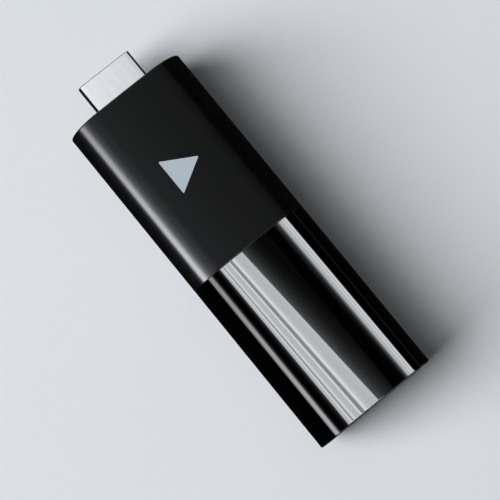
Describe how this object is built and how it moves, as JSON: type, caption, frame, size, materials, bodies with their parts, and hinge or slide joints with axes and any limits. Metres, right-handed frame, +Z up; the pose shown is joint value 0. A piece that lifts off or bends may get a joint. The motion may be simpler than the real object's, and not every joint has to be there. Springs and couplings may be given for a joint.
{
  "type": "streaming media player",
  "caption": "Flat-oval HDMI streaming stick, half matte and half gloss black, with a plug at one end, a micro-USB power socket at the other and a full circuit board inside.",
  "frame": {"origin": "under the middle of the whole object, plug included, on the surface it rests on", "axes": "+Y out of the HDMI plug, +Z up through the marked face, +X to the right with the plug pointing away"},
  "size_m": [0.0302, 0.095, 0.0152],
  "materials": {
    "matte_case": "fine matte texture",
    "gloss_case": "piano-black high gloss",
    "gloss_end": "high gloss",
    "bright_mark": "polished",
    "tray_plastic": "moulded",
    "circuit_board": "solder mask over glass fibre",
    "screw_steel": "plated",
    "plug_steel": "nickel plated, satin",
    "clamp_steel": "tinned",
    "socket_steel": "tinned",
    "black_insulator": "moulded",
    "contact_gold": "gold plated",
    "chip_package": "moulded epoxy",
    "coil_ferrite": "sintered",
    "crystal_can": "plated can",
    "capacitor_ceramic": "sintered, tinned ends",
    "resistor_ceramic": "sintered, tinned ends",
    "shield_tin": "tin plate",
    "thermal_pad": "soft silicone",
    "spreader_aluminium": "stamped",
    "antenna_metal": "stamped",
    "led_lens": "clear resin",
    "light_guide": "clear moulded"
  },
  "bodies": {
    "root": {"front_sleeve": "matte_case", "rear_sleeve": "gloss_case", "end_plate": "gloss_end", "front_mark": "bright_mark", "inner_tray": "tray_plastic", "main_board": "circuit_board", "board_screws": "screw_steel", "plug_shell": "plug_steel", "plug_insulator": "black_insulator", "plug_upper_contacts": "contact_gold", "plug_lower_contacts": "contact_gold", "plug_clamp": "clamp_steel", "usb_shell": "socket_steel", "usb_insulator": "black_insulator", "usb_contacts": "contact_gold", "main_processor": "chip_package", "memory_chips": "chip_package", "flash_chip": "chip_package", "power_chip": "chip_package", "power_coils": "coil_ferrite", "clock_crystals": "crystal_can", "wireless_board": "circuit_board", "wireless_chip": "chip_package", "wireless_cover": "shield_tin", "antennas": "antenna_metal", "surge_chips": "chip_package", "upper_capacitors": "capacitor_ceramic", "lower_capacitors": "capacitor_ceramic", "resistors": "resistor_ceramic", "upper_shield_frame": "shield_tin", "upper_shield_lid": "shield_tin", "lower_shield": "shield_tin", "processor_pad": "thermal_pad", "upper_pad": "thermal_pad", "lower_pad": "thermal_pad", "upper_heat_spreader": "spreader_aluminium", "lower_heat_spreader": "spreader_aluminium", "status_led": "led_lens", "light_pipe": "light_guide"}
  },
  "joints": []
}
